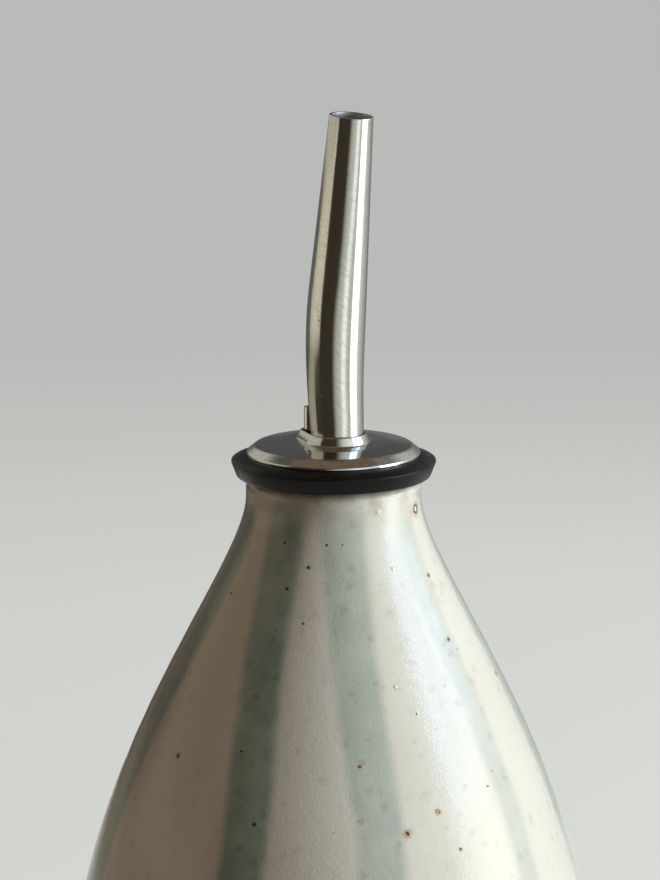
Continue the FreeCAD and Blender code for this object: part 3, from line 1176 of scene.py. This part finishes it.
def makeFloor(s):
    bm = bmesh.new()
    below = Matrix.Translation((0, 0, -s["floorDrop"] * mm))
    bmesh.ops.create_circle(bm, cap_ends=True, segments=96, radius=s["floorRadius"], matrix=below)
    mesh = meshFrom("floor", bm)
    material, tree, shader = newMaterial("paleFloor")
    away = vectorNode(tree, "LENGTH", {0: objectPlace(tree)})["Value"]
    far = mapRange(tree, away, s["nearEdge"], s["farEdge"])
    feed(tree, shader, {
        "Base Color": mixColours(tree, far, s["floorColour"], s["farColour"]),
        "Roughness": 1.0,
        "Specular IOR Level": 0.0,
        "Emission Color": (*s["floorGlow"], 1),
        "Emission Strength": pathMask(tree),
    })
    mesh.materials.append(material)
    floor = placeObject("floor", mesh)


def makeLamp(s):
    lamp = placeObject(s["name"], bpy.data.lights.new(s["name"], "AREA"))
    lamp.data.shape = "RECTANGLE"
    lamp.data.size = s["width"]
    lamp.data.size_y = s["height"]
    lamp.data.energy = s["power"]
    lamp.data.color = s["colour"]
    target = mouth + Vector((0, 0, studioSettings["lampTarget"] * mm))
    lamp.location = target + viewDirection(cameraSettings["azimuth"] + s["turn"], s["lift"]) * s["away"]
    lamp.rotation_euler = (target - lamp.location).to_track_quat("-Z", "Y").to_euler()
    lamp.visible_glossy = False  # the mirrored window stands for it there


def makeWorld(s):
    world = bpy.data.worlds.new("studio")
    bpy.context.scene.world = world
    world.use_nodes = True
    tree = world.node_tree
    colour = mixColours(tree, pathMask(tree), s["worldLight"], s["worldColour"])
    feed(tree, tree.nodes["Background"], {"Color": colour})


def windowBands(s):
    # bright panes, with the edges of the bars between them
    bands = []
    for start, end in s["panes"]:
        bands += [(start - s["paneEdge"], s["bar"]), (start, s["glass"])]
        bands += [(end, s["glass"]), (end + s["paneEdge"], s["bar"])]
    return bands[1:-1]


def turnRamp(tree, turn, bands):
    # colours by the turn from -180 to 180 degrees
    ramp = tree.nodes.new("ShaderNodeValToRGB")
    elements = ramp.color_ramp.elements
    elements[0].position = 0.0
    elements[1].position = 1.0
    for degrees, colour in bands[1:-1]:
        elements.new(degrees / 360 + 0.5)
    for element, (degrees, colour) in zip(elements, bands):
        element.color = (*colour, 1)
    feed(tree, ramp, {0: plus(tree, times(tree, turn, 0.5 / pi), 0.5)})
    return ramp.outputs[0]


def roomColour(tree, s):
    # what a place on the dome shows, by its turn to the right of the camera and its height
    place = vectorNode(tree, "SUBTRACT", {0: objectPlace(tree), 1: mouth})[0]
    turned = {"Vector": place, "Angle": radians(90 - cameraSettings["azimuth"])}
    facing = addNode(tree, "ShaderNodeVectorRotate", turned, rotation_type="Z_AXIS").outputs[0]
    x, y, z = splitPlace(tree, facing)
    turn = mathNode(tree, "ARCTAN2", y, x)
    height = mathNode(tree, "ARCSINE", mathNode(tree, "DIVIDE", z, s["radius"]))

    def between(angle, name):
        return mapRange(tree, angle, *(radians(edge) for edge in s[name]))

    onLeft = between(turn, "leftTurns")
    left = times(tree, between(height, "leftHeights"), onLeft)
    dim = times(tree, times(tree, between(height, "dimHeights"), s["dimShare"]), onLeft)
    inMiddle = mathNode(tree, "MINIMUM", between(turn, "midLeftTurns"), between(turn, "midRightTurns"))
    middle = times(tree, between(height, "midHeights"), inMiddle)
    lean = plus(
        tree, times(tree, left, radians(s["leftShift"])), times(tree, middle, radians(s["midShift"])))
    around = mixColours(tree, dim, turnRamp(tree, plus(tree, turn, lean), s["bands"]), s["dimmed"])
    leftUp = times(tree, between(height, "aboveLeftHeights"), between(turn, "aboveLeftTurns"))
    up = larger(tree, leftUp, between(height, "aboveHeights"))
    seen = mixColours(tree, up, around, turnRamp(tree, turn, sorted(s["above"] + windowBands(s))))
    seen = mixColours(tree, between(height, "overheadHeights"), seen, turnRamp(tree, turn, s["overhead"]))
    return mixColours(tree, between(height, "zenithHeights"), seen, s["zenith"])


def makeMirrored(s):
    # a dome round the object that only glossy rays see, and that casts no light or shadow
    bm = bmesh.new()
    bmesh.ops.create_uvsphere(
        bm, u_segments=64, v_segments=32, radius=s["radius"], matrix=Matrix.Translation(mouth),
    )
    mesh = meshFrom("mirroredRoom", bm)
    material, tree, glow = newMaterial("mirroredRoom", "ShaderNodeEmission")
    feed(tree, glow, {"Color": roomColour(tree, s)})
    material.cycles.emission_sampling = "NONE"
    mesh.materials.append(material)
    dome = placeObject("mirroredRoom", mesh)
    dome.visible_camera = False
    dome.visible_diffuse = False
    dome.visible_transmission = False
    dome.visible_shadow = False


glaze = makeGlaze(glazeSettings)
rubber = makeRubber(rubberSettings)
tubeSteel = makeSteel("tubeSteel", steelSettings, twistedPlace)
drawnSteel = makeDrawnSteel(steelSettings)
discSteel = makeSteel("discSteel", steelSettings, spunPlace)
print("materials made")

spoutX, spoutBase = spoutSettings["offset"], spoutSettings["base"]
airLow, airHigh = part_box("air_tube")
airX = (airLow.x + airHigh.x) / 2 / mm
airRadius = (airHigh.x - airLow.x) / 2 / mm
tailX = airX - airRadius + discSettings["tail"]
makeBottle(bottleSettings, glaze)
makeStopper(stopperSettings, [(spoutX, spoutBase), (airX, airRadius)], rubber)
makeDisc(discSettings, (spoutX, spoutBase, tailX, discSettings["tail"]), discSteel)
makeSpout(spoutSettings, tubeSteel, drawnSteel)
makeAirTube(airSettings, tubeSteel, drawnSteel)
print("pieces made")

makeFloor(studioSettings)
makeWorld(studioSettings)
makeMirrored(mirrorSettings)
for lampSetting in lampSettings:
    makeLamp(lampSetting)
bpy.context.scene.view_settings.view_transform = "Standard"
print("studio made")
